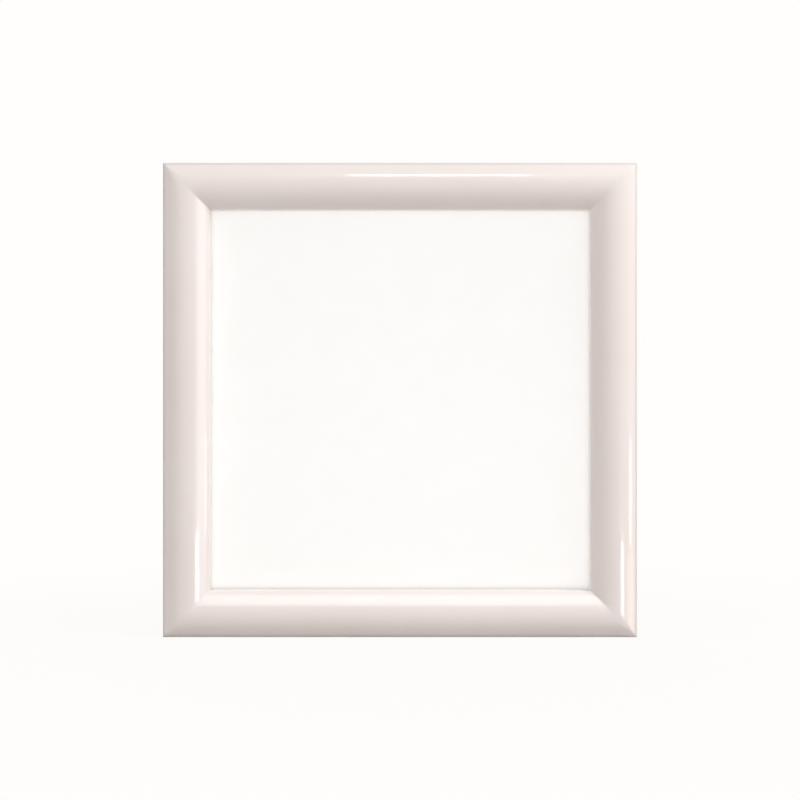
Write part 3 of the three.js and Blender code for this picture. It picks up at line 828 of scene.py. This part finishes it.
def build_hanger():
    """A strip of sheet with flat feet, raised in the middle, with saw teeth along its lower edge."""
    low, high, middle = span_of("sawtooth_hanger")
    line = [
        (low.x, 0),
        (low.x + HANGER_FLAT, 0),
        (low.x + HANGER_FLAT + HANGER_BEND, HANGER_RISE),
    ]
    line += [(-x, y) for x, y in reversed(line)]
    line = round_corners(line, HANGER_CURVE, closed=False)
    sheet = ribbon([(x, y + HANGER_THICKNESS / 2) for x, y in line], HANGER_THICKNESS)
    bm = bmesh.new()
    rings = [[Vector((x, low.y + y, z)) * MM for x, y in sheet] for z in (low.z, high.z)]
    add_tube(bm, rings, split=False)
    strip = to_object(bm, "saw_hanger")
    raised = -low.x - HANGER_FLAT - HANGER_BEND
    each_side = math.floor(raised / TOOTH_PITCH) - 1
    for i in range(-each_side, each_side + 1):
        x = i * TOOTH_PITCH
        notch = [
            (x - TOOTH_WIDTH / 2 - NOTCH_FLARE, low.z - OVERCUT),
            (x + TOOTH_WIDTH / 2 + NOTCH_FLARE, low.z - OVERCUT),
            (x + TOOTH_WIDTH / 2, low.z),
            (x, low.z + TOOTH_DEPTH),
            (x - TOOTH_WIDTH / 2, low.z),
        ]
        cut_away(strip, prism("cutter", notch, low.y, high.y + OVERCUT))
    for side in (-1, 1):
        x = side * HANGER_NAIL_SPREAD
        cut_away(strip, hole(x, middle.z, NAIL_RADIUS + FIT, low.y - OVERCUT, high.y))
    soften(strip, HANGER_EDGE)
    stand_for(strip, "sawtooth_hanger", "frame", BRASS)


def build_nails():
    """The hanger's two nails, with low domed heads."""
    for side in ("left", "right"):
        node = f"hanger_nail_{side}"
        low, high, middle = span_of(node)
        length = high.y - low.y - NAIL_HEAD_HEIGHT
        profile = [
            (0, -length),
            (NAIL_RADIUS, NAIL_POINT - length),
            (NAIL_RADIUS, 0),
            (NAIL_HEAD_RADIUS, 0),
            (NAIL_HEAD_RADIUS, NAIL_HEAD_RIM),
        ]
        crown = dome(NAIL_HEAD_RADIUS, NAIL_HEAD_HEIGHT - NAIL_HEAD_RIM)[1:]
        profile += [(r, NAIL_HEAD_RIM + y) for r, y in crown]
        nail = turned(f"tack_{side}", profile)
        soften(nail, HEAD_EDGE, TURNED_ANGLE)
        move_to(nail, middle.x, high.y - NAIL_HEAD_HEIGHT, middle.z)
        stand_for(nail, node, "frame", BRASS)


def build_rivet(node, body):
    """A rivet with a domed head behind and a flat tail in front."""
    low, high, middle = span_of(node)
    grip = high.y - low.y - RIVET_HEAD_HEIGHT
    profile = [
        (0, -grip),
        (RIVET_TAIL_RADIUS, -grip),
        (RIVET_TAIL_RADIUS, RIVET_TAIL_HEIGHT - grip),
        (RIVET_RADIUS, RIVET_TAIL_HEIGHT - grip),
        (RIVET_RADIUS, 0),
    ]
    profile += dome(RIVET_HEAD_RADIUS, RIVET_HEAD_HEIGHT, 14)
    rivet = turned(node.replace("rivet", "domed_rivet"), profile)
    soften(rivet, HEAD_EDGE, TURNED_ANGLE)
    move_to(rivet, middle.x, high.y - RIVET_HEAD_HEIGHT, middle.z)
    stand_for(rivet, node, body, BRASS)


PIN_Y = span_of("backing_board")[1].y + PIN_OFFSET
PIN_Z = SIDE - HINGE_FROM_TOP
ROLL_RADIUS = KNUCKLE_RADIUS - LEAF_THICKNESS / 2
BASE_FACE = LEAF_THICKNESS - PIN_OFFSET  # outer face of the base leaf, as seen from the pin
HEEL_END = BASE_FACE + HEEL_CLEARANCE + LEAF_THICKNESS / 2  # middle of the heel's end at the stop


def curl(start, end, steps=24):
    """Middle line of a knuckle's sheet round the pin, by degrees from behind the pin, upwards."""
    return arc((PIN_Y, PIN_Z), ROLL_RADIUS, start, end, steps)


def build_leaf(name, node, body, path, outline, rivets, extra=None):
    """A leaf of sheet: a strip that follows a path in (y, z), kept only inside an outline in (x, z)."""
    low, high, _ = span_of(node)
    leaf = prism(name, ribbon(path, LEAF_THICKNESS), low.x - OVERCUT, high.x + OVERCUT, "x")
    shape = prism("cutter", outline, low.y - OVERCUT, high.y + OVERCUT)
    keep_shared(leaf, shape)
    if extra:
        add_on(leaf, extra)
    for rivet in rivets:
        x, z = span_of(rivet)[2].xz
        cut_away(leaf, hole(x, z, RIVET_RADIUS + FIT, low.y - OVERCUT, high.y + OVERCUT))
    soften(leaf, LEAF_EDGE)
    stand_for(leaf, node, body, ZINC)


def heel_outline():
    """The heel that stops the strut, as (y, z) points, drawn at the stop and swung back to rest."""
    swing = math.radians(STRUT_SWING)
    start = (HEEL_FOOT, HEEL_FOOT * HEEL_END / HEEL_LENGTH)
    end = (HEEL_LENGTH, HEEL_END)
    points = []
    for (z, across), side in ((start, 1), (start, -1), (end, -1), (end, 1)):
        y = across + side * LEAF_THICKNESS / 2
        turned_y = y * math.cos(swing) + z * math.sin(swing)
        turned_z = z * math.cos(swing) - y * math.sin(swing)
        points.append((PIN_Y + turned_y, PIN_Z + turned_z))
    return points


def build_base_leaf():
    """The leaf on the board, rolled round the pin at both sides of the middle knuckle."""
    low, high, _ = span_of("hinge_base_leaf")
    half = HINGE_WIDTH / 2
    gap = MIDDLE_KNUCKLE / 2 + KNUCKLE_GAP
    face = low.y + LEAF_THICKNESS / 2
    bend = [(face, high.z), (face, PIN_Z + ROLL_RADIUS), (PIN_Y, PIN_Z + ROLL_RADIUS)]
    path = round_corners(bend, LEAF_BEND, closed=False) + curl(*BASE_CURL)[1:]
    notch = PIN_Z + KNUCKLE_RADIUS + KNUCKLE_GAP
    foot = PIN_Z - KNUCKLE_RADIUS - OVERCUT
    top = [(half, high.z - 2 * LEAF_CORNER), (half, high.z), (-half, high.z)]
    top = round_corners(top, LEAF_CORNER, closed=False)[:-1]
    outline = [(-gap, foot), (-gap, notch), (gap, notch), (gap, foot), (half, foot)] + top
    outline += [(-x, z) for x, z in reversed(top)] + [(-half, foot)]
    rivets = ("base_rivet_left", "base_rivet_right")
    build_leaf("fixed_leaf", "hinge_base_leaf", "frame", path, outline, rivets)


def build_strut_leaf():
    """The leaf on the strut, rolled into the middle knuckle, with the heel that stops it."""
    low = span_of("strut_leaf")[0]
    half = HINGE_WIDTH / 2
    inner = MIDDLE_KNUCKLE / 2
    face = PIN_Y + ROLL_RADIUS
    shoulder = PIN_Z - KNUCKLE_RADIUS - 2 * KNUCKLE_GAP
    head = PIN_Z + KNUCKLE_RADIUS + OVERCUT
    lower = [(0, low.z), (half, low.z), (half, shoulder), (inner, shoulder)]
    lower = round_corners(lower, LEAF_CORNER, closed=False)[1:]
    outline = lower + [(inner, head), (-inner, head)] + [(-x, z) for x, z in reversed(lower)]
    rivets = ("strut_rivet_left", "strut_rivet_right")
    path = [(face, low.z)] + curl(*STRUT_CURL)
    heel = prism("heel", heel_outline(), -inner, inner, "x")
    build_leaf("swing_leaf", "strut_leaf", "strut", path, outline, rivets, heel)


def build_pin():
    """The hinge pin, with a low head at both ends."""
    low = span_of("hinge_pin")[0]
    profile = [
        (0, low.x),
        (PIN_HEAD_RADIUS, low.x),
        (PIN_HEAD_RADIUS, low.x + PIN_HEAD_LENGTH),
        (PIN_RADIUS, low.x + PIN_HEAD_LENGTH),
    ]
    profile += [(r, -y) for r, y in reversed(profile)]
    pin = turned("hinge_wire", profile)
    pin.data.transform(Matrix.Rotation(math.radians(-90), 4, "Z"))
    soften(pin, PIN_EDGE, TURNED_ANGLE)
    move_to(pin, 0, PIN_Y, PIN_Z)
    stand_for(pin, "hinge_pin", "frame", STEEL)


def cut_rivet_holes(sheet, rivets, low, high):
    """Holes through a board for two rivets, widened in front for their tails."""
    for side in ("left", "right"):
        x, z = span_of(f"{rivets}_{side}")[2].xz
        cut_away(sheet, hole(x, z, RIVET_RADIUS + FIT, low.y - OVERCUT, high.y + OVERCUT))
        tail_end = low.y + RIVET_TAIL_HEIGHT + FIT
        cut_away(sheet, hole(x, z, RIVET_TAIL_RADIUS + FIT, low.y - OVERCUT, tail_end))


def build_board():
    """The backing board, a plain sheet with holes for the hinge's rivets."""
    low, high, _ = span_of("backing_board")
    board = prism("back_board", rectangle(low.x, low.z, high.x, high.z), low.y, high.y)
    cut_rivet_holes(board, "base_rivet", low, high)
    soften(board, BOARD_EDGE)
    stand_for(board, "backing_board", "frame", BOARD)


def build_strut():
    """The strut: a board that narrows towards its hinge, with rounded corners."""
    low, high, _ = span_of("easel_strut")
    half_top = STRUT_TOP_WIDTH / 2
    outline = [(low.x, low.z), (high.x, low.z), (half_top, high.z), (-half_top, high.z)]
    leg = prism("easel_leg", round_corners(outline, STRUT_CORNER, closed=True), low.y, high.y)
    cut_rivet_holes(leg, "strut_rivet", low, high)
    soften(leg, STRUT_EDGE)
    stand_for(leg, "easel_strut", "strut", STRUT)


build_buttons()
for count, node in enumerate(sorted(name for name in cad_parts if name.startswith("button_screw"))):
    build_screw(node, SCREW_TURN + SCREW_TURN_STEP * count)
build_hanger()
build_nails()
for side in ("left", "right"):
    build_rivet(f"base_rivet_{side}", "frame")
    build_rivet(f"strut_rivet_{side}", "strut")
build_base_leaf()
build_strut_leaf()
build_pin()
build_board()
build_strut()

dress(PAPER, "picture_card")
dress(GREY, "filler_card")
dress(STEEL, *[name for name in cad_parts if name.startswith("v_nail")])


# Floor and world

WHITE = (1.0, 0.991, 0.973)
AMBIENT = 0.2
AMBIENT_COLOUR = (1, 0.95, 0.93)
FLOOR_HALF = 4  # metres
GROUND_SHARE = 0.95  # share of plain white ground under the object, and the rest takes its shadow
GROUND_REACH = (0.1, 0.35)  # distances in metres over which that share rises to 1


def seen(tree):
    """1 for rays from the camera and for those that mirrors and glass send on."""
    rays = tree.nodes.new("ShaderNodeLightPath")
    total = rays.outputs["Is Camera Ray"]
    for kind in ("Is Glossy Ray", "Is Transmission Ray"):
        either = tree.nodes.new("ShaderNodeMath")
        either.operation = "MAXIMUM"
        tree.links.new(total, either.inputs[0])
        tree.links.new(rays.outputs[kind], either.inputs[1])
        total = either.outputs[0]
    return total


def mix_shader(tree, share, a, b):
    mixed = tree.nodes.new("ShaderNodeMixShader")
    tree.links.new(share, mixed.inputs[0])
    tree.links.new(a, mixed.inputs[1])
    tree.links.new(b, mixed.inputs[2])
    return mixed.outputs[0]


def build_world():
    """The camera, gloss and glass see white ground, and a weak ambient light reaches the rest."""
    world = bpy.data.worlds.new("studio")
    world.use_nodes = True
    tree = world.node_tree
    tree.nodes.clear()
    backs = []
    for colour, strength in ((AMBIENT_COLOUR, AMBIENT), (WHITE, 1.0)):
        back = tree.nodes.new("ShaderNodeBackground")
        back.inputs["Color"].default_value = (*colour, 1)
        back.inputs["Strength"].default_value = strength
        backs.append(back.outputs[0])
    out = tree.nodes.new("ShaderNodeOutputWorld")
    tree.links.new(mix_shader(tree, seen(tree), *backs), out.inputs["Surface"])
    bpy.context.scene.world = world


def build_floor():
    """A pale floor that passes into the white ground away from the object."""
    bm = bmesh.new()
    bmesh.ops.create_grid(bm, x_segments=8, y_segments=8, size=FLOOR_HALF)
    floor = to_object(bm, "floor")
    f = Finish("pale_floor", (0.6, 0.59, 0.58), Roughness=0.9, Specular_IOR_Level=0.1)
    away = f.node("ShaderNodeVectorMath", {"operation": "LENGTH"}, Vector=f.place()).outputs["Value"]
    ground = f.node("ShaderNodeEmission", Color=(*WHITE, 1), Strength=1.0).outputs[0]
    share = f.math("MULTIPLY", seen(f.tree), f.span(away, *GROUND_REACH, GROUND_SHARE, 1))
    out = f.tree.nodes["Material Output"]
    f.tree.links.new(mix_shader(f.tree, share, f.shader.outputs[0], ground), out.inputs["Surface"])
    grain = f.noise(f.place(), 900, detail=3)
    f.set(Normal=f.bump(grain, 0.02), Roughness=f.vary(grain, 0.85, 0.95))
    floor.data.materials.append(f.material)


build_world()
build_floor()


# Lamps

MIDDLE = Vector((0, 0, HALF))
WHITE_LIGHT = (1, 1, 1)
WARM_FILL = (1, 0.9, 0.87)
WARM_LIGHT = (1, 0.66, 0.48)
BOX_SIZE = (0.4, 0.4)

# Name, place, size across and up, brightness of the face where 1 is white, colour, and a glint's rail
BOXES = (
    ("key_box", (0.83, -0.43, 0.86), BOX_SIZE, 25.5, WHITE_LIGHT),
    ("front_box", (0, -1.3, HALF), BOX_SIZE, 4, WARM_FILL),
    ("left_box", (-0.75, -0.55, 0.55), BOX_SIZE, 6.6, WHITE_LIGHT),
    ("card_box", (0, -0.66, HALF), (0.12, 0.12), 63.5, WHITE_LIGHT),
)
BACK_BOX = ((-0.5, 1.07, 0.66), (0.75, 0.75), 2.6, WHITE_LIGHT)
GLINTS = (
    ("sill_sheen", (0, -0.8, 0.86), (0.5, 0.75), 2.9, WHITE_LIGHT, "bottom"),
    ("left_sheen", (0.85, -0.71, 0.2), (0.7, 0.9), 1.9, WHITE_LIGHT, "left"),
    ("top_glint", (0.04, -0.68, 0.806), (0.19, 0.13), 9, WHITE_LIGHT, "top"),
    ("right_glint_high", (0.945, -0.321, 0.009), (0.19, 0.11), 5.5, WHITE_LIGHT, "right"),
    ("right_glint_low", (0.57, -0.77, -0.093), (0.24, 0.1), 9, WHITE_LIGHT, "right"),
    ("right_glow", (0.93, -0.34, -0.11), (0.6, 0.1), 2.8, WARM_LIGHT, "right"),
    ("left_glint_high", (0.749, -0.339, 0.018), (0.1, 0.11), 4, WHITE_LIGHT, "left"),
    ("left_glint_low", (0.46, -0.728, -0.075), (0.22, 0.08), 8, WHITE_LIGHT, "left"),
)


def build_lamp(name, place, size, brightness, colour):
    """A rectangular lamp that faces the middle of the frame."""
    data = bpy.data.lights.new(name, "AREA")
    data.color = colour
    data.shape = "RECTANGLE"
    data.size, data.size_y = size
    data.energy = brightness * math.pi * size[0] * size[1]
    lamp = bpy.data.objects.new(name, data)
    bpy.context.collection.objects.link(lamp)
    lamp.location = place
    lamp.rotation_euler = (MIDDLE - Vector(place)).to_track_quat("-Z", "Y").to_euler()
    lamp.visible_camera = False
    return lamp


def flag(lamp, pieces, state, use="receiver_collection"):
    """Lets a lamp reach only these pieces ("INCLUDE") or all others ("EXCLUDE"), as studio flags do."""
    group = bpy.data.collections.new(lamp.name + "_flag")
    for piece in pieces:
        group.objects.link(piece)
    for entry in group.collection_objects:
        entry.light_linking.link_state = state
    setattr(lamp.light_linking, use, group)


def mouldings(*rails):
    return [bpy.data.objects["moulding_" + rail] for rail in rails]


def build_boxes():
    """Soft boxes. They shape the rails without showing in their gloss, and the card has its own."""
    card = [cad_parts["picture_card"]]
    for name, *values in BOXES:
        box = build_lamp(name, *values)
        box.visible_glossy = False
        flag(box, card, "INCLUDE" if name == "card_box" else "EXCLUDE")
    back = build_lamp("back_box", *BACK_BOX)
    back.visible_glossy = False
    sheen = build_lamp("back_sheen", *BACK_BOX)
    sheen.visible_diffuse = False
    flag(sheen, mouldings("bottom", "top", "left", "right"), "EXCLUDE")


def build_glints():
    """Lamps that show only in the gloss of one rail."""
    for *values, rail in GLINTS:
        lamp = build_lamp(*values)
        lamp.visible_diffuse = False
        flag(lamp, mouldings(rail), "INCLUDE")
        flag(lamp, [bpy.data.objects["floor"]], "EXCLUDE", "blocker_collection")


build_boxes()
build_glints()


# Camera: square on to the middle of the frame

CAMERA_DISTANCE = 0.65  # from the rails' shoulders, where the outline is widest
PIXELS_PER_MM = 2.2366
IMAGE_SIZE = 800

camera_data = bpy.data.cameras.new("camera")
camera_data.lens = camera_data.sensor_width * CAMERA_DISTANCE * PIXELS_PER_MM / (IMAGE_SIZE * MM)
camera = bpy.data.objects.new("camera", camera_data)
bpy.context.collection.objects.link(camera)
camera.location = (0, (OUTER_END - ORIGIN_DEPTH) * MM - CAMERA_DISTANCE, HALF)
camera.rotation_euler = (math.pi / 2, 0, 0)
bpy.context.scene.camera = camera
bpy.context.scene.view_settings.view_transform = "Standard"
